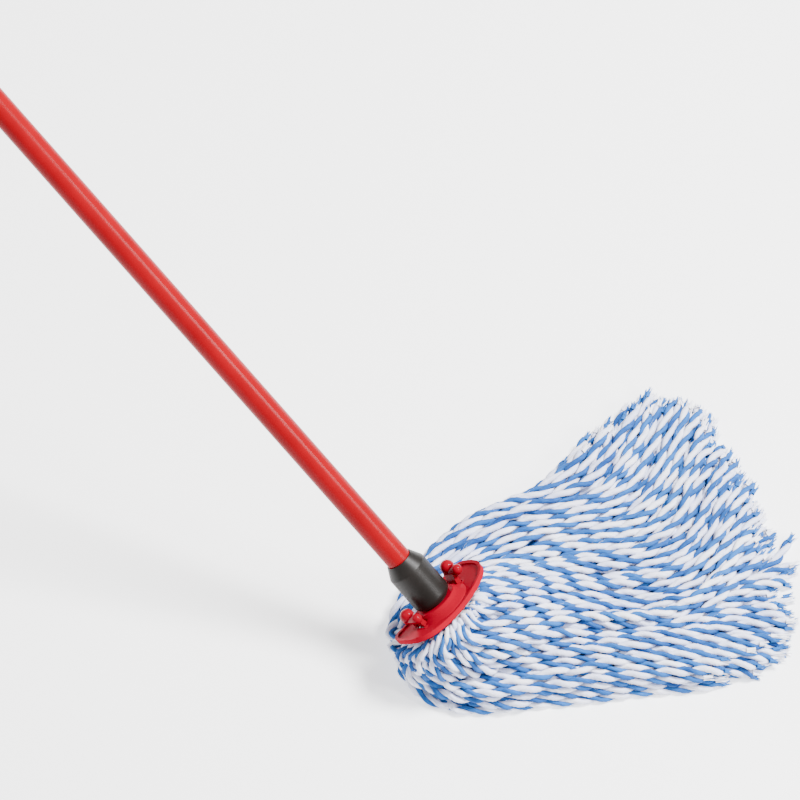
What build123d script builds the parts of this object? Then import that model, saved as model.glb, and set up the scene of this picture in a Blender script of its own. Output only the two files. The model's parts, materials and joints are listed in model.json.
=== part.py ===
"""String mop: a lacquered tube handle, a clip-on head plate with two thumb latches, and a twisted-yarn head.

Millimetres, +Z up, floor at Z = 0. The origin is on the floor straight below the middle of the clip plate.
The hard parts are modelled upright, with the handle's axis along Z and the plate's middle at zero, and
are then tilted into place. The mop is held as in use: the handle leans back towards -X, and the yarn
lies on the floor, swept towards +X and +Y.
"""
from build123d import *
import os
from math import cos, pi, radians, sin

# ---- stance ----
HANDLE_RISE = 40.3  # degrees from the floor to the handle's axis
PLATE_HEIGHT = 62.0  # floor to the middle of the clip plate

# ---- handle tube, ferrule and cap ----
TUBE_R = 11.0
TUBE_WALL = 0.9
TUBE_TIP_R = 10.7  # the tube is drawn in a little where it enters the collar
TUBE_NECK_END = 57.7  # distance along the handle's axis from the plate's middle, as all the ones below
TUBE_START = 46.0
TUBE_LENGTH = 1200.0
PLUG_CLEARANCE = 0.05  # a moulded plug inside the tube
PLUG_CHAMFER = 2.0
FERRULE_PLUG = 34.0
FERRULE_FLANGE = 2.0
FERRULE_FLANGE_R = 10.5
FERRULE_CORE_R = 8.0
FERRULE_BORE_R = 5.0
FERRULE_CHAMFER = 1.0
FERRULE_RIDGE_R = 9.4
FERRULE_START = 20.0
RIDGE_PITCH = 4.0
RIDGE_BASE = 2.2
RIDGE_CREST = 1.0
RIDGES = 5
FERRULE_PHASE = 0.75  # the first ridge's place above the ferrule's start, in pitches
SOCKET_PHASE = 1.25
CAP_PLUG = 30.0
CAP_SKIRT = 7.0
CAP_EYE_R = 4.5
CAP_TONGUE_THICK = 9.0
CAP_TONGUE_R = 9.5
CAP_TONGUE_ROUND = 1.5
CAP_EYE_AT = 24.0  # above the end of the tube

# ---- collar ----
COLLAR_R = 17.3
COLLAR_START = 9.4
COLLAR_SHOULDER = 46.8
COLLAR_END = 57.2
COLLAR_LIP_R = 12.1
COLLAR_BORE_R = 11.3
COLLAR_EDGE_R = 6.0
COLLAR_SHOULDER_EDGE_R = 3.0
SOCKET_R = 10.0
SOCKET_RIDGE_R = 8.5
SOCKET_FLOOR = 19.4
SOCKET_STEP = 43.5  # where the socket widens for the tube
SPIGOT_R = 12.3
SPIGOT_END = -11.5
SPIGOT_CHAMFER = 1.2
SPIGOT_HOLLOW_R = 7.5
SPIGOT_ROOF = 15.5
GROOVE_R = 10.9
GROOVE_TOP = -4.6
GROOVE_BOTTOM = -9.4

# ---- clip plate ----
PLATE_HALF_X = 31.0
PLATE_SHIFT = 2.5  # the plate's outline lies this far in front of the handle's axis
PLATE_HALF_Y = 46.5
PLATE_SIDE_ARC = 150.0
PLATE_END_ARC = 80.0
PLATE_CORNER_R = 20.0
SADDLE_R = 185.0  # the wings turn up along this radius
PLATE_THICK = 3.0
RIM_WIDTH = 2.8
RIM_HEIGHT = 1.4
DOME_LINE = ((28.2, 1.2), (27.4, 2.6), (24.5, 4.4), (21.5, 6.3))  # (radius, height) from the foot inwards
DOME_TOP_R = 18.5
DOME_TOP = 8.9
DOME_THICK = 2.6
SHEET_HOLE_R = 24.0
RECEIVER_R = 12.7
RECEIVER_WALL = 2.6
RECEIVER_END = -10.5
SLOT_INNER = 20.2
SLOT_OUTER = 27.6
SLOT_HALF_WIDTH = 7.2
CHEEK_THICK = 2.4
CHEEK_BOTTOM = -3.0
CHEEK_TOP = 4.0
CHEEK_REACH = 29.5
BOSS_R = 3.4
BOSS_CIRCLE_R = 32.0
BOSS_END = -10.8
BOSS_TOP = 2.0
WINDOW_HALF_WIDTH = 4.6
WINDOW_TOP = -3.4
SCREW_HOLE_TOP = -2.8

# ---- latches ----
PIVOT_Y = 24.0
PIVOT_Z = 1.6
PIN_R = 1.5
PIN_BORE_R = 1.56
PIN_HALF_LENGTH = 9.4
LATCH_HALF_WIDTH = 6.9
LATCH_BOSS_R = 3.2
KNOB_Y = 28.5
BALL_Z = 19.3
BALL_R = 6.1
BAR_Z = 15.6
BAR_R = 4.6
BAR_REACH = 10.6  # from the lever's middle to the middle of the bar's round end
BAR_BACK = 4.5  # from the lever's middle to the bar's flat end
HOOK_TIP_Y = 11.8
HOOK_HALF_WIDTH = 4.2
HOOK_TOP = -5.4
HOOK_BOTTOM = -8.4
HOOK_ROOT_Y = 19.4
LEVER_LINE = (  # (y, z) from the thumb bar down the lever's inner side, round the hook, and up its outer side
    (24.9, BAR_Z),
    (22.4, 8.5),
    (20.8, PIVOT_Z),
    (20.8, HOOK_TOP),
    (HOOK_TIP_Y, HOOK_TOP),
    (HOOK_TIP_Y, -7.2),
    (13.4, HOOK_BOTTOM),
    (23.5, HOOK_BOTTOM),
    (25.8, -6.1),
    (26.1, PIVOT_Z),
    (26.6, 8.5),
    (32.1, BAR_Z),
)
NOTCH_HALF_WIDTH = 3.1  # the notch holds the spring
NOTCH_LOW = -1.8
NOTCH_HIGH = 6.8
SPRING_R = 2.5
WIRE_R = 0.5
SPRING_TURNS = 3.25
SPRING_PITCH = 1.25
UP_LEG = 4.6
OUT_LEG = 3.4

# ---- yarn clamp ----
RING_INNER_R = 28.6
RING_OUTER_R = 38.2
RING_TOP = -11.0
RING_BOTTOM = -14.4
BAND_OUTER_R = 37.2
BAND_INNER_R = 29.2
BAND_TOP = -3.4
BAND_BOTTOM = -10.9
BAND_GAP = 0.2
SCREW_R = 1.5
SCREW_SHANK_R = 1.48
SCREW_CLEARANCE = 0.2
SCREW_HEAD_R = 3.0
SCREW_HEAD = 1.8
SCREW_HEAD_ROUND = 0.5
SCREW_HEAD_CLEARANCE = 0.3
SCREW_LENGTH = 11.0
RECESS_HALF_LENGTH = 1.9
RECESS_HALF_WIDTH = 0.4
RECESS_DEPTH = 0.8

# ---- yarn ----
NECK_HALF_X = 36.0
NECK_HALF_Y = 44.0
NECK_SHIFT = 10.0
NECK_TOP = -14.7
GROUP_GAP = 0.6
GROUPS = 10
FAN_FROM = -30.0  # direction of the fan's first edge on the floor, in degrees from +X
FAN_TO = 118.0
FAN_START = 50.0
FAN_REACH = (80.0, 105.0, 130.0, 190.0, 285.0, 297.0, 300.0, 305.0, 175.0, 120.0)
HIGH_HEIGHT = 66.0
MIDDLE_HEIGHT = 46.0
TIP_HEIGHT = 20.0
MIDDLE_AT = 0.55  # share of the reach
GROUP_ROUND = 0.3  # share of a wedge's width or height

TILT = radians(HANDLE_RISE)
HEAD = Plane(origin=(0, 0, PLATE_HEIGHT), x_dir=(sin(TILT), 0, cos(TILT)), z_dir=(-cos(TILT), 0, sin(TILT)))
TUBE_END = TUBE_START + TUBE_LENGTH
SIDES = {"left": 1, "right": -1}
BIG = 400.0
OVERCUT = 1.0  # how far a cutting shape passes the surface that it cuts


def turned(points):
    """A solid of revolution about Z from (radius, height) points."""
    outline = make_face(Polyline(*[(r, 0, z) for r, z in points], close=True))
    return revolve(outline, Axis.Z)


def ring(outer, inner, low, high):
    """A plain ring about Z."""
    return turned([(inner, low), (outer, low), (outer, high), (inner, high)])


def disc(radius, low, high):
    """A plain cylinder about Z."""
    return Pos(0, 0, (low + high) / 2) * Cylinder(radius, high - low)


def block(x, y, z):
    """A box from (low, high) pairs."""
    size = [high - low for low, high in (x, y, z)]
    middle = [(high + low) / 2 for low, high in (x, y, z)]
    return Pos(*middle) * Box(*size)


def ridge(root_r, crest_r, z):
    """The section of one thread ridge, from its root to its crest."""
    return [
        (root_r, z - RIDGE_BASE / 2),
        (crest_r, z - RIDGE_CREST / 2),
        (crest_r, z + RIDGE_CREST / 2),
        (root_r, z + RIDGE_BASE / 2),
    ]


# ---- handle ----
def handle_tube():
    outline = [(TUBE_R - TUBE_WALL, TUBE_START), (TUBE_TIP_R, TUBE_START), (TUBE_TIP_R, TUBE_NECK_END)]
    outline += [(TUBE_R, TUBE_NECK_END), (TUBE_R, TUBE_END), (TUBE_R - TUBE_WALL, TUBE_END)]
    return turned(outline)


def threaded_ferrule():
    """Ridged insert: the plug fills the tube's end and the ridges sit in the collar's socket."""
    plug_r = TUBE_R - TUBE_WALL - PLUG_CLEARANCE
    flange_low = TUBE_START - FERRULE_FLANGE
    outline = [(0, FERRULE_START), (FERRULE_CORE_R - FERRULE_CHAMFER, FERRULE_START)]
    outline += [(FERRULE_CORE_R, FERRULE_START + FERRULE_CHAMFER)]
    for i in range(RIDGES):
        outline += ridge(FERRULE_CORE_R, FERRULE_RIDGE_R, FERRULE_START + (i + FERRULE_PHASE) * RIDGE_PITCH)
    outline += [(FERRULE_CORE_R, flange_low), (FERRULE_FLANGE_R, flange_low), (FERRULE_FLANGE_R, TUBE_START)]
    plug_end = TUBE_START + FERRULE_PLUG
    outline += [(plug_r, TUBE_START), (plug_r, plug_end - PLUG_CHAMFER)]
    outline += [(plug_r - PLUG_CHAMFER, plug_end), (0, plug_end)]
    return turned(outline) - disc(FERRULE_BORE_R, TUBE_START, plug_end + OVERCUT)


def hanging_cap():
    """End plug with a flat tongue and an eye to hang the mop by."""
    plug_r = TUBE_R - TUBE_WALL - PLUG_CLEARANCE
    plug = disc(plug_r, TUBE_END - CAP_PLUG, TUBE_END)
    skirt = disc(TUBE_R, TUBE_END, TUBE_END + CAP_SKIRT)
    skirt = fillet(skirt.edges().sort_by(Axis.Z)[-1], CAP_SKIRT / 3)
    eye_at = TUBE_END + CAP_EYE_AT
    side = Plane.XZ.offset(-CAP_TONGUE_THICK / 2)
    straight = CAP_EYE_AT - CAP_SKIRT / 2
    shank = Pos(0, eye_at - straight / 2) * Rectangle(2 * CAP_TONGUE_R, straight)
    tongue = extrude(side * (shank + Pos(0, eye_at) * Circle(CAP_TONGUE_R)), CAP_TONGUE_THICK)
    rounded = tongue.edges().filter_by(lambda e: abs(abs(e.center().Y) - CAP_TONGUE_THICK / 2) < 0.01)
    above_skirt = TUBE_END + CAP_SKIRT / 2 + CAP_TONGUE_ROUND / 3
    tongue = fillet(rounded.filter_by(lambda e: e.center().Z > above_skirt), CAP_TONGUE_ROUND)
    eye = Pos(0, 0, eye_at) * Rot(90, 0, 0) * Cylinder(CAP_EYE_R, 3 * CAP_TONGUE_THICK)
    return plug + skirt + tongue - eye


# ---- collar ----
def collar():
    """Grey connector: a ridged socket above for the handle, and a grooved spigot below for the plate."""
    body = turned(
        [
            (0, COLLAR_START),
            (COLLAR_R, COLLAR_START),
            (COLLAR_R, COLLAR_SHOULDER),
            (COLLAR_LIP_R, COLLAR_END),
            (0, COLLAR_END),
        ]
    )
    round_edges = body.edges().filter_by(GeomType.CIRCLE).sort_by(Axis.Z)
    body = fillet(round_edges[0], COLLAR_EDGE_R)
    shoulder = body.edges().filter_by(GeomType.CIRCLE).filter_by_position(Axis.Z, COLLAR_SHOULDER, COLLAR_SHOULDER)
    body = fillet(shoulder, COLLAR_SHOULDER_EDGE_R)
    spigot = turned(
        [
            (SPIGOT_HOLLOW_R, SPIGOT_END),
            (SPIGOT_R - SPIGOT_CHAMFER, SPIGOT_END),
            (SPIGOT_R, SPIGOT_END + SPIGOT_CHAMFER),
            (SPIGOT_R, GROOVE_BOTTOM),
            (GROOVE_R, GROOVE_BOTTOM),
            (GROOVE_R, GROOVE_TOP),
            (SPIGOT_R, GROOVE_TOP),
            (SPIGOT_R, COLLAR_START + OVERCUT),
            (SPIGOT_HOLLOW_R, COLLAR_START + OVERCUT),
        ]
    )
    hollow = disc(SPIGOT_HOLLOW_R, SPIGOT_END - OVERCUT, SPIGOT_ROOF)
    socket = [(0, SOCKET_FLOOR), (SOCKET_R, SOCKET_FLOOR)]
    for i in range(RIDGES - 1):
        socket += ridge(SOCKET_R, SOCKET_RIDGE_R, FERRULE_START + (i + SOCKET_PHASE) * RIDGE_PITCH)
    socket += [(SOCKET_R, SOCKET_STEP), (COLLAR_BORE_R, SOCKET_STEP), (COLLAR_BORE_R, COLLAR_END + OVERCUT)]
    socket += [(0, COLLAR_END + OVERCUT)]
    return body + spigot - hollow - turned(socket)


# ---- clip plate ----
def saddle(low, high):
    """A curved slab between two heights at its middle, with its sides turned up along Y."""
    axis_at = Pos(0, 0, SADDLE_R) * Rot(0, 90, 0)
    length = 4 * PLATE_HALF_X
    return axis_at * Cylinder(SADDLE_R - low, length) - axis_at * Cylinder(SADDLE_R - high, length)


def oval(inset, low, high):
    """An upright prism on the plate's four-arc outline, or on one inset from it."""
    side_r = PLATE_SIDE_ARC - inset
    end_r = PLATE_END_ARC - inset
    face = Rectangle(PLATE_SIDE_ARC, PLATE_SIDE_ARC)
    for sign in SIDES.values():
        face &= Pos(sign * (PLATE_HALF_X - PLATE_SIDE_ARC), 0) * Circle(side_r)
        face &= Pos(0, sign * (PLATE_HALF_Y - PLATE_END_ARC)) * Circle(end_r)
    face = fillet(face.vertices(), PLATE_CORNER_R - inset)
    return extrude(Pos(PLATE_SHIFT, 0, low) * face, high - low)


def slot_block(side, low, high):
    """The space in which one latch swings."""
    ends = sorted((side * SLOT_INNER, side * SLOT_OUTER))
    return block((-SLOT_HALF_WIDTH, SLOT_HALF_WIDTH), ends, (low, high))


def boss_places():
    angles = [pi * (2 * i + 1) / 4 for i in range(4)]
    return [(BOSS_CIRCLE_R * cos(a), BOSS_CIRCLE_R * sin(a)) for a in angles]


def clip_plate():
    """Oval saddle with a raised rim, a domed middle, a receiver for the spigot, and cheeks for the pins."""
    half = PLATE_THICK / 2
    near = SADDLE_R / 4
    sheet = saddle(-half, half) & oval(0, -near, near)
    for x, y in boss_places():
        sheet += Pos(x, y, 0) * disc(BOSS_R, BOSS_END, BOSS_TOP)
    rim = (saddle(-half, half + RIM_HEIGHT) & oval(0, -near, near)) - oval(RIM_WIDTH, -near, near)
    dome_line = list(DOME_LINE) + [(DOME_TOP_R, DOME_TOP), (RECEIVER_R, DOME_TOP)]
    under_line = [(r - DOME_THICK / 2, z - DOME_THICK) for r, z in reversed(dome_line[:-1])]
    dome = turned(dome_line + [(RECEIVER_R, DOME_TOP - DOME_THICK)] + under_line)
    receiver = ring(RECEIVER_R + RECEIVER_WALL, RECEIVER_R, RECEIVER_END, DOME_TOP)
    plate = sheet - disc(SHEET_HOLE_R, -near, near) + rim + dome + receiver
    for side in SIDES.values():
        cheek_x = SLOT_HALF_WIDTH + CHEEK_THICK
        along_y = sorted((side * (RECEIVER_R + RECEIVER_WALL), side * CHEEK_REACH))
        cheek = block((-cheek_x, cheek_x), along_y, (CHEEK_BOTTOM, CHEEK_TOP))
        plate += cheek & disc(CHEEK_REACH, CHEEK_BOTTOM, CHEEK_TOP)
    for side in SIDES.values():
        plate -= slot_block(side, -near, near)
        window = sorted((side * (SPIGOT_R - OVERCUT), side * (SLOT_INNER + OVERCUT)))
        plate -= block((-WINDOW_HALF_WIDTH, WINDOW_HALF_WIDTH), window, (RECEIVER_END - OVERCUT, WINDOW_TOP))
        plate -= Pos(0, side * PIVOT_Y, PIVOT_Z) * Rot(0, 90, 0) * Cylinder(PIN_R, 2 * PIN_HALF_LENGTH)
    for x, y in boss_places():
        plate -= Pos(x, y, 0) * disc(SCREW_R, BOSS_END - OVERCUT, SCREW_HOLE_TOP)
    return plate


# ---- latches ----
def latch(side):
    """Thumb ball with a short bar in front of it, pivot in the plate's slot, and hook in the collar's groove."""
    lever = make_face(Polyline(*[(0, y, z) for y, z in LEVER_LINE], close=True))
    body = extrude(lever, LATCH_HALF_WIDTH, both=True)
    for sign in (-1, 1):
        spare = sorted((sign * HOOK_HALF_WIDTH, sign * (LATCH_HALF_WIDTH + OVERCUT)))
        body -= block(spare, (HOOK_TIP_Y - OVERCUT, HOOK_ROOT_Y), (HOOK_BOTTOM - OVERCUT, HOOK_TOP + OVERCUT))
    body += Pos(0, PIVOT_Y, PIVOT_Z) * Rot(0, 90, 0) * Cylinder(LATCH_BOSS_R, 2 * LATCH_HALF_WIDTH)
    notch_y = (PIVOT_Y - LATCH_BOSS_R - OVERCUT, PIVOT_Y + LATCH_BOSS_R + OVERCUT)
    body -= block((-NOTCH_HALF_WIDTH, NOTCH_HALF_WIDTH), notch_y, (NOTCH_LOW, NOTCH_HIGH))
    body -= Pos(0, PIVOT_Y, PIVOT_Z) * Rot(0, 90, 0) * Cylinder(PIN_BORE_R, 3 * LATCH_HALF_WIDTH)
    bar_length = BAR_REACH + BAR_BACK
    body += Pos(BAR_REACH - bar_length / 2, KNOB_Y, BAR_Z) * Rot(0, 90, 0) * Cylinder(BAR_R, bar_length)
    body += Pos(BAR_REACH, KNOB_Y, BAR_Z) * Sphere(BAR_R)
    body += Pos(0, KNOB_Y, BALL_Z) * Sphere(BALL_R)
    return body if side > 0 else mirror(body, Plane.XZ)


def latch_pin(side):
    return Pos(0, side * PIVOT_Y, PIVOT_Z) * Rot(0, 90, 0) * Cylinder(PIN_R, 2 * PIN_HALF_LENGTH)


def latch_spring(side):
    """Torsion spring round the pin, with one leg up against the latch and one out under the dome."""
    height = SPRING_TURNS * SPRING_PITCH
    path = Helix(SPRING_PITCH, height, SPRING_R)
    coil = sweep(Plane(origin=path @ 0, z_dir=path % 0) * Circle(WIRE_R), path=path)
    spring = Pos(-height / 2, 0, 0) * Rot(0, 90, 0) * coil
    spring += Pos(height / 2, SPRING_R, UP_LEG / 2 - WIRE_R) * Cylinder(WIRE_R, UP_LEG)
    spring += Pos(-height / 2, OUT_LEG / 2 - WIRE_R, -SPRING_R) * Rot(90, 0, 0) * Cylinder(WIRE_R, OUT_LEG)
    spring = Pos(0, PIVOT_Y, PIVOT_Z) * spring
    return spring if side > 0 else mirror(spring, Plane.XZ)


# ---- yarn clamp ----
def clamp_ring():
    body = ring(RING_OUTER_R, RING_INNER_R, RING_BOTTOM, RING_TOP)
    for x, y in boss_places():
        body -= Pos(x, y, 0) * disc(SCREW_R + SCREW_CLEARANCE, RING_BOTTOM - OVERCUT, RING_TOP + OVERCUT)
        counterbore_r = SCREW_HEAD_R + SCREW_HEAD_CLEARANCE
        body -= Pos(x, y, 0) * disc(counterbore_r, RING_BOTTOM - OVERCUT, RING_BOTTOM + SCREW_HEAD)
    return body


def clamp_screws():
    screws = []
    head_low = RING_BOTTOM
    head_top = RING_BOTTOM + SCREW_HEAD
    for x, y in boss_places():
        head = disc(SCREW_HEAD_R, head_low, head_top)
        head = fillet(head.edges().sort_by(Axis.Z)[0], SCREW_HEAD_ROUND)
        shank = disc(SCREW_SHANK_R, head_top, head_low + SCREW_LENGTH)
        long = (-RECESS_HALF_LENGTH, RECESS_HALF_LENGTH)
        short = (-RECESS_HALF_WIDTH, RECESS_HALF_WIDTH)
        depth = (head_low - OVERCUT, head_low + RECESS_DEPTH)
        recess = block(long, short, depth) + block(short, long, depth)
        screws.append(Pos(x, y, 0) * (head + shank - recess))
    return Compound(children=screws)


def binding_band():
    """Stitched tape round the strands' middle, pierced by the four screw bosses."""
    body = ring(BAND_OUTER_R, BAND_INNER_R, BAND_BOTTOM, BAND_TOP)
    for x, y in boss_places():
        body -= Pos(x, y, 0) * disc(BOSS_R + BAND_GAP, BAND_BOTTOM - OVERCUT, BAND_TOP + OVERCUT)
    return body


# ---- yarn, in row coordinates ----
def yarn_neck():
    """The gathered strands between the plate's underside and the floor."""
    column = extrude(Pos(NECK_SHIFT, 0) * Ellipse(NECK_HALF_X, NECK_HALF_Y), BIG / 2)
    below_clamp = HEAD.location * Pos(0, 0, NECK_TOP - BIG / 2) * Box(BIG, BIG, BIG)
    return column & below_clamp


def yarn_group(index):
    """One wedge of strands, from the neck out to its cut ends, lying on the floor."""
    step = (FAN_TO - FAN_FROM) / GROUPS
    middle = FAN_FROM + (index + 0.5) * step
    reach = FAN_REACH[index]
    half = radians(step) / 2
    stations = (
        (FAN_START, HIGH_HEIGHT),
        (FAN_START + MIDDLE_AT * (reach - FAN_START), MIDDLE_HEIGHT),
        (reach, TIP_HEIGHT),
    )
    sections = []
    for distance, height in stations:
        width = 2 * distance * sin(half) - GROUP_GAP
        section = Rectangle(width, height)
        top = section.vertices().sort_by(Axis.Y)[-2:]
        section = fillet(top, min(width, height) * GROUP_ROUND)
        sections.append(Plane(origin=(distance, 0, height / 2), x_dir=(0, 1, 0), z_dir=(1, 0, 0)) * section)
    wedge = loft(sections, ruled=True)
    return Rot(0, 0, middle) * wedge


def upright_parts():
    """The parts modelled with the handle's axis along Z."""
    parts = {
        "handle_tube": handle_tube(),
        "threaded_ferrule": threaded_ferrule(),
        "hanging_cap": hanging_cap(),
        "collar": collar(),
        "clip_plate": clip_plate(),
        "clamp_ring": clamp_ring(),
        "clamp_screws": clamp_screws(),
        "binding_band": binding_band(),
    }
    for name, side in SIDES.items():
        parts[f"{name}_latch"] = latch(side)
        parts[f"{name}_latch_pin"] = latch_pin(side)
        parts[f"{name}_latch_spring"] = latch_spring(side)
    return parts


def yarn_parts():
    parts = {"yarn_neck": yarn_neck()}
    for i in range(GROUPS):
        parts[f"yarn_fan_{i + 1}"] = yarn_group(i)
    return parts


os.makedirs("parts", exist_ok=True)
for node, part in upright_parts().items():
    export_step(HEAD.location * part, f"parts/{node}.step")
for node, part in yarn_parts().items():
    export_step(part, f"parts/{node}.step")
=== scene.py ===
"""Looks of the string mop: real two-ply strands settled on the floor, and the finish of every hard part."""
import json
import math

import bpy
import numpy as np
from mathutils import Matrix, Vector


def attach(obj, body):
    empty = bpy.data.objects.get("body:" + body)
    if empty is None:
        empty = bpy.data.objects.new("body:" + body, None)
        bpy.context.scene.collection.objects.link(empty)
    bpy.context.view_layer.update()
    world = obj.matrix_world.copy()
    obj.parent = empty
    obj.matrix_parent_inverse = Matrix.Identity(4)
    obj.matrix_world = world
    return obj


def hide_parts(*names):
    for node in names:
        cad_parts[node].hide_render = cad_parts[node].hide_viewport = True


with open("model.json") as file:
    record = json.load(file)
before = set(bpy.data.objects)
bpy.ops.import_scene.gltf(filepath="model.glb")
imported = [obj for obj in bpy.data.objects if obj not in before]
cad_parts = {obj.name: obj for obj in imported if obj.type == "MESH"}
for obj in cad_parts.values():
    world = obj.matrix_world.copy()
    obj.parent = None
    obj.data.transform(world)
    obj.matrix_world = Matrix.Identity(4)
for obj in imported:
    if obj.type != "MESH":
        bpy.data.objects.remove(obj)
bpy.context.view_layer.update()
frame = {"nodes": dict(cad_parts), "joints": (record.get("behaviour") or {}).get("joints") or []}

rng = np.random.default_rng(7)

# ---- the frame's own directions and places, in metres ----
turn = next(j for j in frame["joints"] if j["name"] == "handle_turn")
HANDLE = Vector(turn["axis"]).normalized()
SIDE = Vector((0, 1, 0))
ACROSS = SIDE.cross(HANDLE)
pivot = Vector(turn["pos_m"])
PLATE = pivot - HANDLE * (pivot.x / HANDLE.x)

# ---- strands ----
LAYERS = 5
STRANDS_A_LAYER = 25
GROUPS = 10
STRAND_LENGTH = 0.312
STRAND_R = 0.0038
STEP = 0.0068
POINTS = int(round(STRAND_LENGTH / STEP)) + 1
SHORTEST, LONGEST = 0.225, 0.338
CURVE_SAMPLES = 200

# ---- where the strands leave the clamp ----
SPLIT_ANGLE = math.radians(-145)  # where the row of strands round the clamp starts and ends
SPLIT_GAP = 0.003
STAGGER = 0.5  # each second layer is shifted by this share of a strand's room
PLACE_JITTER = 0.12
ROOT_RADIUS = 0.0325
EXIT_RADIUS = 0.0385
EXIT_DROP = -0.007
STACK_HEIGHT = 0.0044
FRONT_BULGE, BACK_BULGE = 0.013, 0.014  # how far the strands swell out past the clamp
BULGE_DROP = 0.010

# ---- where the strands go ----
# Each row is two places (x, y) that a strand passes on the floor, a third and two thirds of the way,
# and the place of its tip.
# The low strands run along the front, and the high ones turn away from them and lie over them.
LOW_ROUTES = [
    (0.050, -0.031, 0.122, 0.026, 0.206, 0.110),
    (0.050, -0.026, 0.120, 0.038, 0.218, 0.124),
    (0.052, -0.017, 0.122, 0.050, 0.230, 0.140),
    (0.058, -0.004, 0.128, 0.064, 0.236, 0.156),
    (0.066, 0.010, 0.136, 0.080, 0.238, 0.174),
    (0.074, 0.026, 0.144, 0.100, 0.226, 0.190),
    (0.082, 0.042, 0.150, 0.120, 0.211, 0.205),
    (0.088, 0.056, 0.152, 0.136, 0.198, 0.217),
    (0.090, 0.064, 0.154, 0.146, 0.188, 0.229),
]
HIGH_ROUTES = [
    (0.084, 0.042, 0.158, 0.118, 0.182, 0.238),
    (0.082, 0.062, 0.150, 0.144, 0.148, 0.254),
    (0.072, 0.080, 0.134, 0.164, 0.116, 0.267),
    (0.058, 0.096, 0.112, 0.180, 0.090, 0.285),
    (0.040, 0.108, 0.087, 0.192, 0.064, 0.298),
    (0.016, 0.114, 0.060, 0.200, 0.038, 0.303),
    (-0.008, 0.110, 0.033, 0.194, 0.014, 0.289),
    (-0.030, 0.098, 0.009, 0.174, 0.004, 0.254),
    (-0.048, 0.066, -0.018, 0.144, -0.002, 0.208),
]
PARTING = (0.41, 0.38, 0.31, 0.25, 0.21)  # share of low strands in each layer, from the bottom one up
LOW_SPREAD = (1.0, 1.0, 0.86, 0.68, 0.58)  # how far up the list of low routes each layer's low strands go
THIRD_HEIGHT, THIRD_RISE = 0.008, 0.010  # height of the lowest layer there, and how much each layer adds
TWO_THIRDS_HEIGHT, TWO_THIRDS_RISE = 0.006, 0.009
TIP_RISE = 0.006
HELD_UP, HELD_RISE = 0.50, 0.35  # share of the clamp's height kept at a third, and the top layer's extra
TIP_CUT, TIP_SCATTER = -0.02, 0.09  # mean and spread of the last third's change in length
WANDER = 0.003

# ---- settling ----
QUICK_STEPS, FULL_STEPS = 60, 260
ROUNDS = 3
DAMPING = 0.86
FALL = 0.00016
FASTEST = 0.002
PAIRS_EVERY = 6
PAIR_REACH = 2.5 * STRAND_R
STIFFNESS = 0.16
ROOT_POINTS = 8  # points near the clamp where a strand only bends as it must
HOLD = 0.012  # how firmly each strand keeps to its place on the floor
CROWDING = 0.6
NUDGE = 0.0012
NEAR_FLOOR = 1.15  # a point lower than this many radii rubs on the floor
SLIDE = 0.35
TINY = 1e-6
PLATE_OVAL = (0.0320, 0.0475)
SADDLE = 0.185
UNDERSIDE = 0.0020
CLAMP = (0.0375, -0.0150)
ROOT_THIN, ROOT_GAIN = 0.55, 0.45  # share of the thickness at the clamp, and what it gains past it
ROOT_RUN = 0.05

# ---- strand meshes ----
RINGS = 118
PITCH = 0.031
PITCH_RANGE = (0.88, 1.15)
THICK_RANGE = (0.95, 1.05)
TONE_SPREAD = 0.05
PINCH, PINCH_GAIN = 0.72, 0.28  # share of the drawn thickness at the clamp, and what it gains past it
PINCH_RUN = 0.06
PLIES = (
    # material index, ply radius, offset of its centre, number of sides, number of ribs round it
    (0, 0.00278, 0.00164, 14, 7),
    (1, 0.00232, 0.00205, 12, 6),
)
SWELL, SWELL_RUN, SWELL_SHIFT = 0.05, 0.011, 3
RIB, RIB_TURNS = 0.07, 4.0
TIP_TAPER = 0.008
TIP_CLOSING = 0.55
UV_RUN = 0.01
FLOOR_GAP = 0.0003
FRAY_FIBRES = 9
FRAY_SIDES = 5
FRAY_KNOTS = np.linspace(0, 1, 5)
FRAY_START = 0.005  # how far back from the end of the ply its fibres begin
FRAY_REACH = (0.2, 0.75)
FRAY_LENGTH = (0.006, 0.010)
FRAY_LEAN = (0.0, 0.22)
FRAY_WIDTH, FRAY_TAPER = 0.42, 0.75
# painted light: the frayed fibres' tone is raised so that they look less shaded by each other
FRAY_PAINTED_LIGHT = 0.2
FRAY_GAP = 0.0008
FUZZ_FIBRES = 34  # loose fibres along each ply
FUZZ_SIDES = 3
FUZZ_KNOTS = np.array([0, 0.5, 1.0])
FUZZ_ARCH = np.array([0, 0.8, 1.0])
FUZZ_R = 0.00011
FUZZ_FIRST_RING = 6
FUZZ_ROOT = 0.9
FUZZ_LENGTH = (0.003, 0.008)
FUZZ_LEAN = (0.15, 0.5)
FUZZ_TAPER = 0.6


# ---- curves ----
def smooth(x):
    x = np.clip(x, 0, 1)
    return x * x * (3 - 2 * x)


def between(p0, p1, p2, p3, f):
    """A smooth curve from p1 to p2, at the share f of the way, that heads as its neighbours p0 and p3 say."""
    square = 2 * p0 - 5 * p1 + 4 * p2 - p3
    cube = 3 * p1 - p0 - 3 * p2 + p3
    return 0.5 * (2 * p1 + (p2 - p0) * f + square * f**2 + cube * f**3)


def along(values, v):
    """Reads a smooth curve through evenly spaced values at v from 0 to 1."""
    values = np.asarray(values, float)
    x = np.clip(v, 0, 1) * (len(values) - 1)
    i = np.clip(x.astype(int), 0, len(values) - 2)
    padded = np.vstack([2 * values[:1] - values[1:2], values, 2 * values[-1:] - values[-2:-1]])
    return between(*(padded[i + k] for k in range(4)), (x - i)[:, None])


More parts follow.
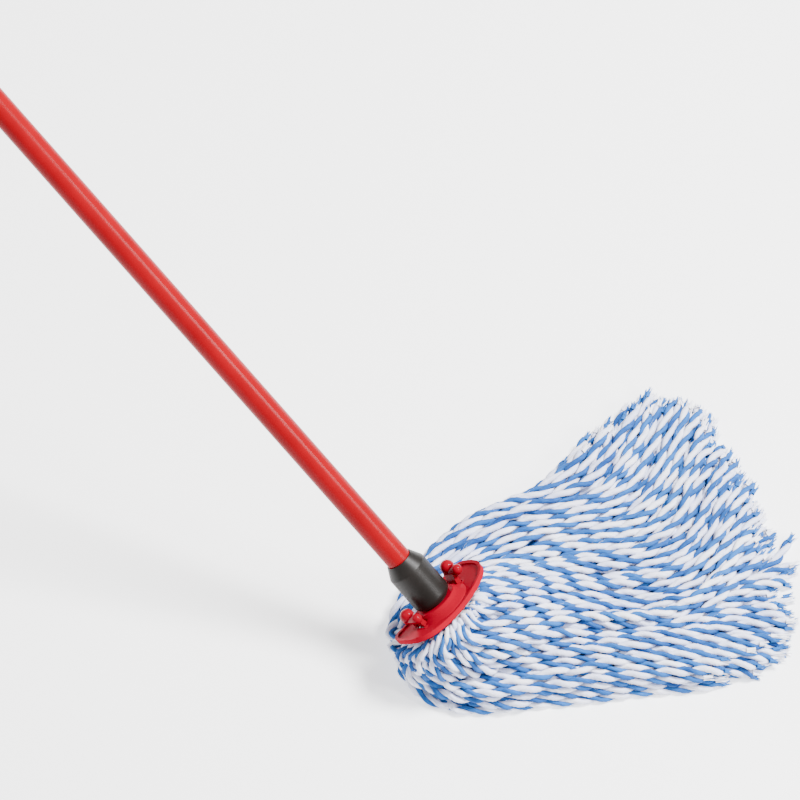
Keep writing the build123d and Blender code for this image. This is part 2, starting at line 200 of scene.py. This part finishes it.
def resample(points, rings):
    """A smooth line of evenly spaced points through each strand's points."""
    before = 2 * points[:, :1] - points[:, 1:2]
    after = 2 * points[:, -1:] - points[:, -2:-1]
    padded = np.concatenate([before, points, after], axis=1)
    x = np.linspace(0, points.shape[1] - 1, rings)
    i = np.clip(x.astype(int), 0, points.shape[1] - 2)
    return between(*(padded[:, i + k] for k in range(4)), (x - i)[None, :, None])


def run_along(line):
    """How far each point of a line is from its start."""
    return np.concatenate([[0], np.cumsum(np.linalg.norm(np.diff(line, axis=0), axis=1))])


def frames_along(line):
    """A tangent and two steady cross directions at each point of a line."""
    tangent = np.gradient(line, axis=0)
    tangent /= np.linalg.norm(tangent, axis=1)[:, None]
    normal = np.empty_like(line)
    first = np.cross(tangent[0], (0, 0, 1.0))
    normal[0] = first / max(np.linalg.norm(first), TINY)
    for k in range(1, len(line)):
        n = normal[k - 1] - tangent[k] * (normal[k - 1] @ tangent[k])
        normal[k] = n / np.linalg.norm(n)
    return tangent, normal, np.cross(tangent, normal)


# ---- the strands' first layout ----
def clamp_places():
    """Each strand's place in its row round the clamp, from 0 to 1, and its layer."""
    layer = np.repeat(np.arange(LAYERS), STRANDS_A_LAYER)
    place = np.tile(np.arange(STRANDS_A_LAYER), LAYERS) + STAGGER * (layer % 2) + STAGGER / 2
    place = place / STRANDS_A_LAYER
    place = place + rng.normal(0, PLACE_JITTER / STRANDS_A_LAYER, len(place))
    return np.clip(place, SPLIT_GAP, 1 - SPLIT_GAP), layer


def floor_routes(v, layer):
    """Each strand's row of places on the floor, read between the rows of the low or the high list."""
    parting = np.array(PARTING)[layer]
    low = along(LOW_ROUTES, v / parting * np.array(LOW_SPREAD)[layer])
    high = along(HIGH_ROUTES, (v - parting) / (1 - parting))
    return np.where((v < parting)[:, None], low, high)


def head_point(radius, angle, drop):
    """A point in the tilted head's own coordinates, as row coordinates."""
    out = np.cos(angle)[:, None] * np.array(ACROSS) + np.sin(angle)[:, None] * np.array(SIDE)
    return np.array(PLATE) + radius[:, None] * out + drop[:, None] * np.array(HANDLE)


def first_layout():
    """A route for each strand: out of the clamp, round or away from the plate, and along the floor."""
    v, layer = clamp_places()
    count = len(v)
    angle = SPLIT_ANGLE + v * 2 * math.pi
    height = layer / (LAYERS - 1)
    drop = EXIT_DROP - STACK_HEIGHT / 2 + STACK_HEIGHT * height
    root = head_point(np.full(count, ROOT_RADIUS), angle, drop)
    leave = head_point(np.full(count, EXIT_RADIUS), angle, drop)
    swell = FRONT_BULGE + (BACK_BULGE - FRONT_BULGE) * (1 - np.cos(angle)) / 2
    bulge = head_point(EXIT_RADIUS + swell, angle, drop)
    bulge[:, 2] -= BULGE_DROP
    route = floor_routes(v, layer)
    held = leave[:, 2] * (HELD_UP + HELD_RISE * height)
    third = np.column_stack([route[:, :2], np.maximum(THIRD_HEIGHT + THIRD_RISE * layer, held)])
    two_thirds = np.column_stack([route[:, 2:4], TWO_THIRDS_HEIGHT + TWO_THIRDS_RISE * layer])
    tip = np.column_stack([route[:, 4:], STRAND_R + TIP_RISE * layer])
    tip[:, :2] += (tip[:, :2] - two_thirds[:, :2]) * rng.normal(TIP_CUT, TIP_SCATTER, count)[:, None]
    two_thirds[:, :2] += rng.normal(0, WANDER, (count, 2))
    points = np.empty((count, POINTS, 3))
    spacing = np.empty(count)
    for s in range(count):
        corners = [leave[s], bulge[s], third[s], two_thirds[s], tip[s]]
        curve = along(corners, np.linspace(0, 1, CURVE_SAMPLES))
        run = run_along(curve)
        places = np.linspace(0, 1, POINTS - 1) * min(run[-1], LONGEST)
        for axis in range(3):
            points[s, 1:, axis] = np.interp(places, run, curve[:, axis])
        spacing[s] = min(max(run[-1], SHORTEST), LONGEST) / (POINTS - 2)
    points[:, 0] = root
    return points, v, layer, spacing


# ---- settling ----
def close_pairs(points, reach):
    """Index pairs of points nearer than reach, by sorting them into cells."""
    cell = np.floor((points - points.min(0)) / reach).astype(np.int64) + 1
    size = cell.max(0) + 2
    stride = np.array([size[1] * size[2], size[2], 1])
    key = cell @ stride
    order = np.argsort(key, kind="stable")
    ranked = key[order]
    steps = (-1, 0, 1)
    near = [(x, y, z) for x in steps for y in steps for z in steps if (x, y, z) >= (0, 0, 0)]
    firsts, seconds = [], []
    index = np.arange(len(points))
    for offset in near:
        other = key + np.array(offset) @ stride
        low = np.searchsorted(ranked, other, "left")
        count = np.searchsorted(ranked, other, "right") - low
        starts = np.repeat(np.cumsum(count) - count, count)
        i = np.repeat(index, count)
        j = order[np.arange(int(count.sum())) - starts + np.repeat(low, count)]
        if offset == (0, 0, 0):
            i, j = i[i < j], j[i < j]
        firsts.append(i)
        seconds.append(j)
    i, j = np.concatenate(firsts), np.concatenate(seconds)
    close = np.linalg.norm(points[i] - points[j], axis=1) < reach
    return i[close], j[close]


def pairs_apart(points):
    """Close pairs of points on different strands, leaving out those that the clamp holds."""
    count, length, _ = points.shape
    strand = np.repeat(np.arange(count), length)
    station = np.tile(np.arange(length), count)
    i, j = close_pairs(points.reshape(-1, 3), PAIR_REACH)
    apart = (strand[i] != strand[j]) & ((station[i] > 1) | (station[j] > 1))
    return i[apart], j[apart]


def keep_lengths(points, rest, fixed):
    """Pulls the neighbouring points of each strand back to their spacing."""
    for parity in (0, 1):
        a, b = points[:, parity:-1:2], points[:, parity + 1::2]
        gap = b - a
        size = np.linalg.norm(gap, axis=2, keepdims=True)
        pull = gap * (1 - rest[:, parity::2, None] / np.maximum(size, TINY))
        a += pull * 0.5
        b -= pull * 0.5
        points[:, :2] = fixed


def push_apart(points, pairs, radius):
    """Moves points of strands that press into each other apart."""
    flat = points.reshape(-1, 3)
    i, j = pairs
    gap = flat[j] - flat[i]
    size = np.linalg.norm(gap, axis=1)
    need = radius[i] + radius[j]
    hit = size < need
    i, j, gap, size, need = i[hit], j[hit], gap[hit], size[hit], need[hit]
    push = gap / np.maximum(size, TINY)[:, None] * ((need - size) * 0.5)[:, None]
    hits = np.bincount(i, minlength=len(flat)) + np.bincount(j, minlength=len(flat))
    for axis in range(3):
        move = np.bincount(j, push[:, axis], len(flat)) - np.bincount(i, push[:, axis], len(flat))
        flat[:, axis] += move / np.maximum(1, hits * CROWDING)
    return flat.reshape(points.shape)


def keep_off(points, thickness):
    """Lifts points off the floor, and moves them out of the plate and the clamp."""
    across, side, up = np.array(ACROSS), np.array(SIDE), np.array(HANDLE)
    station = np.arange(points.shape[1])
    low = thickness[None, :] - points[..., 2]
    points[..., 2] += np.maximum(low, 0) * (station > 1)
    rel = points - np.array(PLATE)
    x, y, s = rel @ across, rel @ side, rel @ up
    out = np.sqrt((x / PLATE_OVAL[0]) ** 2 + (y / PLATE_OVAL[1]) ** 2)
    under = y**2 / (2 * SADDLE) - UNDERSIDE - thickness[None, :]
    too_high = (out < 1) & (station > 1) & (s > under)
    points -= np.where(too_high, np.minimum(s - under, NUDGE), 0)[..., None] * up
    ring_r = np.hypot(x, y)
    near_ring = (ring_r < CLAMP[0]) & (s > CLAMP[1]) & (station > 2)
    shove = np.where(near_ring, np.minimum(CLAMP[0] - ring_r, NUDGE), 0)
    points += (shove * x / np.maximum(ring_r, TINY))[..., None] * across
    points += (shove * y / np.maximum(ring_r, TINY))[..., None] * side


def settle(points, thickness, spacing, steps):
    """Lets the strands fall, lie on the floor and on each other, and bend round the plate."""
    rest = np.linalg.norm(np.diff(points, axis=1), axis=2)
    rest[:, 1:] = spacing[:, None]
    radius = np.tile(thickness, len(points))
    speed = np.zeros_like(points)
    fixed = points[:, :2].copy()
    home = points[..., :2].copy()
    kept = (points[:, :-2] + points[:, 2:]) / 2 - points[:, 1:-1]
    kept[..., 2] = 0
    kept[:, :ROOT_POINTS] *= np.linspace(0, 1, ROOT_POINTS)[None, :, None]
    for step in range(steps):
        before = points.copy()
        speed *= DAMPING
        speed[..., 2] -= FALL
        points = points + np.clip(speed, -FASTEST, FASTEST)
        points[:, :2] = fixed
        if step % PAIRS_EVERY == 0:
            pairs = pairs_apart(points)
        for _ in range(ROUNDS):
            keep_lengths(points, rest, fixed)
            middle = (points[:, :-2] + points[:, 2:]) / 2
            points[:, 1:-1] += (middle - points[:, 1:-1] - kept) * STIFFNESS
            points[..., :2] += (home - points[..., :2]) * HOLD
            points[:, :2] = fixed
            points = push_apart(points, pairs, radius)
            points[:, :2] = fixed
            keep_off(points, thickness)
        speed = points - before
        on_floor = points[..., 2] < thickness[None, :] * NEAR_FLOOR
        speed[on_floor, :2] *= SLIDE
    return points


# ---- strand meshes ----
class MeshSink:
    """Collects the tubes of one group of strands."""

    def __init__(self):
        self.points, self.faces, self.slots, self.uvs, self.tones = [], [], [], [], []
        self.size = 0

    def tube(self, rings, slot, tone, run):
        """Adds a tube whose rings are (n, sides, 3)."""
        n, sides, _ = rings.shape
        k, s = np.meshgrid(np.arange(n - 1), np.arange(sides), indexing="ij")
        t = (s + 1) % sides
        quad = np.stack([k * sides + s, k * sides + t, (k + 1) * sides + t, (k + 1) * sides + s], axis=-1)
        u = (s / sides, (s + 1) / sides)
        v = (run[k], run[k + 1])
        corners = [np.stack([u[a], v[b]], -1) for a, b in ((0, 0), (1, 0), (1, 1), (0, 1))]
        self.points.append(rings.reshape(-1, 3))
        self.faces.append(quad.reshape(-1, 4) + self.size)
        self.uvs.append(np.stack(corners, 2).reshape(-1, 4, 2))
        self.slots.append(np.full((n - 1) * sides, slot))
        self.tones.append(np.full(n * sides, tone))
        self.size += n * sides


def rings_round(path, radius, around, out, cross):
    """Rings of points round a path, in the plane of the directions out and cross."""
    direction = np.cos(around)[None, :, None] * out + np.sin(around)[None, :, None] * cross
    return path[:, None] + radius * direction


def whole_turn(sides):
    return np.linspace(0, 2 * math.pi, sides, endpoint=False)


def strand_tubes(sink, line, thick, pitch, phase, tone):
    """The two plies of one strand, wound round each other, with frayed ends."""
    tangent, normal, other = frames_along(line)
    run = run_along(line)
    turn_angle = phase + run / pitch * 2 * math.pi
    closing = 1 - TIP_CLOSING * smooth(1 - (run[-1] - run) / TIP_TAPER)
    for slot, radius, offset, sides, ribs in PLIES:
        spin = turn_angle + (math.pi if slot else 0)
        out = np.cos(spin)[:, None] * normal + np.sin(spin)[:, None] * other
        cross = -np.sin(spin)[:, None] * normal + np.cos(spin)[:, None] * other
        middle = line + out * (offset * thick)[:, None]
        around = whole_turn(sides)
        swell = 1 + SWELL * np.sin(run / SWELL_RUN + phase * SWELL_SHIFT)[:, None]
        lobes = 1 + RIB * np.cos(ribs * around[None, :] + (run / pitch * RIB_TURNS)[:, None])
        width = (radius * thick * closing)[:, None] * swell * lobes
        rings = rings_round(middle, width[..., None], around, out[:, None], cross[:, None])
        rings[..., 2] = np.maximum(rings[..., 2], FLOOR_GAP)
        sink.tube(rings, slot, tone, run / UV_RUN)
        fray(sink, middle[-1], tangent[-1], out[-1], cross[-1], radius, slot, tone)
        fuzz(sink, middle, tangent, out, cross, radius * thick, slot, tone)


def fray(sink, at, ahead, out, cross, radius, slot, tone):
    """Loose filaments at a cut end, their colour painted lighter to lift the shade they cast on each other.
    """
    for _ in range(FRAY_FIBRES):
        spread = rng.uniform(0, 2 * math.pi)
        reach = rng.uniform(*FRAY_REACH) * radius
        sideways = math.cos(spread) * out + math.sin(spread) * cross
        start = at - ahead * FRAY_START + sideways * reach
        length = rng.uniform(*FRAY_LENGTH)
        lean = rng.uniform(*FRAY_LEAN)
        path = start + np.outer(FRAY_KNOTS * length, ahead)
        path += np.outer(FRAY_KNOTS**2 * length * lean, sideways)
        path[:, 2] = np.maximum(path[:, 2], FRAY_GAP)
        width = radius * FRAY_WIDTH * (1 - FRAY_TAPER * FRAY_KNOTS)
        rings = rings_round(path, width[:, None, None], whole_turn(FRAY_SIDES), out, cross)
        sink.tube(rings, slot, tone + FRAY_PAINTED_LIGHT, FRAY_KNOTS)


def fuzz(sink, middle, tangent, out, cross, radius, slot, tone):
    """Fine loose fibres standing a little off a ply."""
    for k in rng.integers(FUZZ_FIRST_RING, len(middle) - 1, FUZZ_FIBRES):
        spin = rng.uniform(0, 2 * math.pi)
        sideways = math.cos(spin) * out[k] + math.sin(spin) * cross[k]
        start = middle[k] + sideways * radius[k] * FUZZ_ROOT
        length = rng.uniform(*FUZZ_LENGTH)
        lean = rng.uniform(*FUZZ_LEAN) * length
        path = start + np.outer(FUZZ_KNOTS * length, tangent[k]) + np.outer(FUZZ_ARCH * lean, sideways)
        path[:, 2] = np.maximum(path[:, 2], 2 * FUZZ_R)
        width = FUZZ_R * (1 - FUZZ_TAPER * FUZZ_KNOTS)
        rings = rings_round(path, width[:, None, None], whole_turn(FUZZ_SIDES), out[k], cross[k])
        sink.tube(rings, slot, tone, FUZZ_KNOTS)


def mesh_from(sink, name, materials):
    points = np.concatenate(sink.points)
    faces = np.concatenate(sink.faces)
    mesh = bpy.data.meshes.new(name)
    mesh.vertices.add(len(points))
    mesh.vertices.foreach_set("co", points.ravel())
    mesh.loops.add(faces.size)
    mesh.loops.foreach_set("vertex_index", faces.ravel())
    mesh.polygons.add(len(faces))
    mesh.polygons.foreach_set("loop_start", np.arange(len(faces)) * 4)
    mesh.polygons.foreach_set("loop_total", np.full(len(faces), 4))
    for m in materials:
        mesh.materials.append(m)
    mesh.polygons.foreach_set("material_index", np.concatenate(sink.slots))
    mesh.polygons.foreach_set("use_smooth", np.ones(len(faces), bool))
    uv = mesh.uv_layers.new(name="strand")
    uv.data.foreach_set("uv", np.concatenate(sink.uvs).ravel())
    tone = mesh.attributes.new("tone", "FLOAT", "POINT")
    tone.data.foreach_set("value", np.concatenate(sink.tones))
    mesh.update()
    mesh.validate()
    obj = bpy.data.objects.new(name, mesh)
    bpy.context.scene.collection.objects.link(obj)
    return obj


# ---- materials ----
def new_material(name):
    m = bpy.data.materials.new(name)
    m.use_nodes = True
    nodes = m.node_tree.nodes
    nodes.clear()
    out = nodes.new("ShaderNodeOutputMaterial")
    shader = nodes.new("ShaderNodeBsdfPrincipled")
    m.node_tree.links.new(shader.outputs[0], out.inputs[0])
    return m, nodes, m.node_tree.links, shader


def noise(nodes, links, coords, scale, detail=4.0, roughness=0.6):
    n = nodes.new("ShaderNodeTexNoise")
    n.inputs["Scale"].default_value = scale
    n.inputs["Detail"].default_value = detail
    n.inputs["Roughness"].default_value = roughness
    links.new(coords, n.inputs["Vector"])
    return n.outputs["Fac"]


def ramp(nodes, links, value, stops):
    r = nodes.new("ShaderNodeValToRGB")
    links.new(value, r.inputs[0])
    for e, (at, colour) in zip(r.color_ramp.elements, stops):
        e.position = at
        e.color = (*colour, 1)
    return r.outputs[0]


def bump(nodes, links, shader, height, strength, distance):
    b = nodes.new("ShaderNodeBump")
    b.inputs["Strength"].default_value = strength
    b.inputs["Distance"].default_value = distance
    links.new(height, b.inputs["Height"])
    links.new(b.outputs[0], shader.inputs["Normal"])


def yarn_material(name, pale, deep, sheen):
    """Microfibre ply: fine fibres along it, in patches of paler and deeper colour."""
    m, nodes, links, shader = new_material(name)
    uv = nodes.new("ShaderNodeUVMap")
    uv.uv_map = "strand"
    stretch = nodes.new("ShaderNodeMapping")
    stretch.inputs["Scale"].default_value = (26, 1.1, 1)
    links.new(uv.outputs[0], stretch.inputs[0])
    fibres = noise(nodes, links, stretch.outputs[0], scale=1.0, detail=5.0, roughness=0.65)
    place = nodes.new("ShaderNodeTexCoord")
    patches = noise(nodes, links, place.outputs["Object"], scale=55.0, detail=3.0)
    tone = nodes.new("ShaderNodeAttribute")
    tone.attribute_name = "tone"
    add = nodes.new("ShaderNodeMath")
    add.operation = "MULTIPLY_ADD"
    links.new(patches, add.inputs[0])
    add.inputs[1].default_value = 0.45
    links.new(fibres, add.inputs[2])
    mix = nodes.new("ShaderNodeMath")
    mix.operation = "ADD"
    links.new(add.outputs[0], mix.inputs[0])
    links.new(tone.outputs["Fac"], mix.inputs[1])
    colour = ramp(nodes, links, mix.outputs[0], ((0.5, deep), (0.9, pale)))
    links.new(colour, shader.inputs["Base Color"])
    shader.inputs["Roughness"].default_value = 0.85
    shader.inputs["Sheen Weight"].default_value = sheen
    shader.inputs["Sheen Roughness"].default_value = 0.45
    shader.inputs["Specular IOR Level"].default_value = 0.25
    bump(nodes, links, shader, fibres, strength=0.55, distance=0.0006)
    return m


def plastic_material(name, colour, dark, roughness, grain_scale, grain, shine=0.5):
    """Moulding or lacquer: slightly uneven colour, and a fine grain in its gloss and surface."""
    m, nodes, links, shader = new_material(name)
    place = nodes.new("ShaderNodeTexCoord")
    broad = noise(nodes, links, place.outputs["Object"], scale=30.0, detail=3.0)
    links.new(ramp(nodes, links, broad, ((0.3, dark), (0.7, colour))), shader.inputs["Base Color"])
    fine = noise(nodes, links, place.outputs["Object"], scale=grain_scale, detail=2.0)
    rough = nodes.new("ShaderNodeMapRange")
    rough.inputs["To Min"].default_value = roughness * 0.8
    rough.inputs["To Max"].default_value = roughness * 1.25
    links.new(fine, rough.inputs[0])
    links.new(rough.outputs[0], shader.inputs["Roughness"])
    shader.inputs["Specular IOR Level"].default_value = shine
    bump(nodes, links, shader, fine, strength=grain, distance=0.0002)
    return m


def steel_material(name, colour, dark):
    """Zinc-plated steel with a fine grain."""
    m, nodes, links, shader = new_material(name)
    place = nodes.new("ShaderNodeTexCoord")
    fine = noise(nodes, links, place.outputs["Object"], scale=900.0, detail=3.0)
    links.new(ramp(nodes, links, fine, ((0.3, dark), (0.7, colour))), shader.inputs["Base Color"])
    shader.inputs["Metallic"].default_value = 1.0
    shader.inputs["Roughness"].default_value = 0.32
    bump(nodes, links, shader, fine, strength=0.1, distance=0.0001)
    return m


# ---- the strands ----
white = yarn_material("yarn_white", pale=(0.90, 0.90, 0.97), deep=(0.46, 0.52, 0.82), sheen=0.15)
blue = yarn_material("yarn_blue", pale=(0.019, 0.138, 0.435), deep=(0.002, 0.032, 0.18), sheen=0.08)


def build_yarn():
    points, v, layer, spacing = first_layout()
    run = np.arange(POINTS) * STEP
    thickness = STRAND_R * (ROOT_THIN + ROOT_GAIN * smooth(run / ROOT_RUN))
    points = settle(points, thickness, spacing, FULL_STEPS)
    lines = resample(points, RINGS)
    thick = PINCH + PINCH_GAIN * smooth(np.linspace(0, STRAND_LENGTH, RINGS) / PINCH_RUN)
    group = np.minimum((v * GROUPS).astype(int), GROUPS - 1)
    for g in range(GROUPS):
        sink = MeshSink()
        for s in np.flatnonzero(group == g):
            pitch = PITCH * rng.uniform(*PITCH_RANGE)
            width = thick * rng.uniform(*THICK_RANGE)
            phase = rng.uniform(0, 2 * math.pi)
            strand_tubes(sink, lines[s], width, pitch, phase, rng.normal(0, TONE_SPREAD))
        obj = mesh_from(sink, f"strands_{g + 1}", (white, blue))
        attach(obj, "head")
        if g == 0:
            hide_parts("yarn_fan_1", "yarn_neck")
        else:
            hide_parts(f"yarn_fan_{g + 1}")


build_yarn()

# ---- finishes of the CAD parts ----
red_lacquer = plastic_material(
    "red_lacquer", (0.25, 0.0004, 0.0050), (0.21, 0.0003, 0.0040),
    roughness=0.26, grain_scale=700.0, grain=0.04, shine=0.08,
)
crimson = plastic_material(
    "crimson_plate", (0.29, 0.0001, 0.013), (0.25, 0.0001, 0.011),
    roughness=0.30, grain_scale=500.0, grain=0.03, shine=0.005,
)
polished = plastic_material(
    "crimson_latch", (0.24, 0.0001, 0.009), (0.20, 0.0001, 0.008),
    roughness=0.12, grain_scale=500.0, grain=0.02, shine=0.07,
)
grey = plastic_material(
    "grey_plastic", (0.010, 0.008, 0.007), (0.007, 0.006, 0.005),
    roughness=0.40, grain_scale=1500.0, grain=0.12, shine=0.22,
)
pale_grey = plastic_material(
    "natural_plastic", (0.5, 0.5, 0.5), (0.42, 0.42, 0.42), roughness=0.4, grain_scale=900.0, grain=0.1
)
tape = plastic_material(
    "stitched_tape", (0.78, 0.78, 0.84), (0.62, 0.62, 0.70), roughness=0.9, grain_scale=1800.0, grain=0.6
)
steel = steel_material("zinc_steel", (0.62, 0.62, 0.65), (0.42, 0.42, 0.45))

EDGE_ROUND = 0.0004
SHARP = math.radians(40)


def soften(obj):
    """Rounds a moulding's sharp edges a little."""
    bevel = obj.modifiers.new("soft_edges", "BEVEL")
    bevel.width = EDGE_ROUND
    bevel.segments = 2
    bevel.limit_method = "ANGLE"
    bevel.angle_limit = SHARP
    bevel.harden_normals = False


FINISHES = {
    "handle_tube": red_lacquer,
    "clip_plate": crimson,
    "left_latch": polished,
    "right_latch": polished,
    "collar": grey,
    "hanging_cap": grey,
    "threaded_ferrule": pale_grey,
    "clamp_ring": pale_grey,
    "binding_band": tape,
    "clamp_screws": steel,
    "left_latch_pin": steel,
    "right_latch_pin": steel,
    "left_latch_spring": steel,
    "right_latch_spring": steel,
}
for node, material in FINISHES.items():
    mesh = frame["nodes"][node].data
    mesh.materials.clear()
    mesh.materials.append(material)
    if material in (crimson, polished, grey):
        soften(frame["nodes"][node])

# ---- studio ----
FLOOR_SIZE = 12
FLOOR_GLOW = 1.1
SKY_GLOW = 0.5


def area_light(name, at, aim, size, power):
    data = bpy.data.lights.new(name, "AREA")
    data.shape = "DISK"
    data.size = size
    data.energy = power
    obj = bpy.data.objects.new(name, data)
    bpy.context.scene.collection.objects.link(obj)
    direction = Vector(aim) - Vector(at)
    obj.matrix_world = Matrix.Translation(at) @ direction.to_track_quat("-Z", "Y").to_matrix().to_4x4()


def studio():
    bpy.ops.mesh.primitive_plane_add(size=FLOOR_SIZE, location=(0, 0, 0))
    floor = bpy.context.object
    floor.name = "studio_floor"
    m, _, _, shader = new_material("floor")
    shader.inputs["Base Color"].default_value = (0.92, 0.92, 0.92, 1)
    shader.inputs["Roughness"].default_value = 0.9
    shader.inputs["Emission Color"].default_value = (1, 1, 1, 1)
    shader.inputs["Emission Strength"].default_value = FLOOR_GLOW
    floor.data.materials.append(m)
    world = bpy.data.worlds.new("studio")
    bpy.context.scene.world = world
    world.use_nodes = True
    sky = world.node_tree.nodes["Background"]
    sky.inputs[0].default_value = (1, 1, 1, 1)
    sky.inputs[1].default_value = SKY_GLOW
    area_light("key", at=(0.9, 1.3, 2.9), aim=(0.1, 0.1, 0.1), size=0.9, power=360)
    area_light("edge", at=(1.61, 0.45, 1.34), aim=(-0.27, 0, 0.29), size=0.6, power=38)
    area_light("fill", at=(-1.6, -1.2, 1.8), aim=(0, 0, 0.1), size=1.6, power=20)


studio()

# ---- camera ----
AZIMUTH = math.radians(35)
ELEVATION = math.radians(60)
ROLL = math.radians(0.5)
DISTANCE = 6.0
VIEW_WIDTH = 0.6616
FRAME_LEFT = 0.0344
FRAME_UP = 0.1717
SENSOR_WIDTH = 36
FARTHEST = 50


def camera():
    right = Vector((math.cos(AZIMUTH), math.sin(AZIMUTH), 0))
    level = math.cos(ELEVATION)
    back = Vector((math.sin(AZIMUTH) * level, -math.cos(AZIMUTH) * level, math.sin(ELEVATION)))
    up = back.cross(right)
    right, up = right * math.cos(ROLL) + up * math.sin(ROLL), up * math.cos(ROLL) - right * math.sin(ROLL)
    centre = PLATE - right * FRAME_LEFT + up * FRAME_UP
    data = bpy.data.cameras.new("camera")
    data.sensor_width = SENSOR_WIDTH
    data.lens = SENSOR_WIDTH * DISTANCE / VIEW_WIDTH
    data.clip_end = FARTHEST
    obj = bpy.data.objects.new("camera", data)
    bpy.context.scene.collection.objects.link(obj)
    turned = Matrix((right, up, back)).transposed().to_4x4()
    obj.matrix_world = Matrix.Translation(centre + back * DISTANCE) @ turned
    bpy.context.scene.camera = obj


camera()
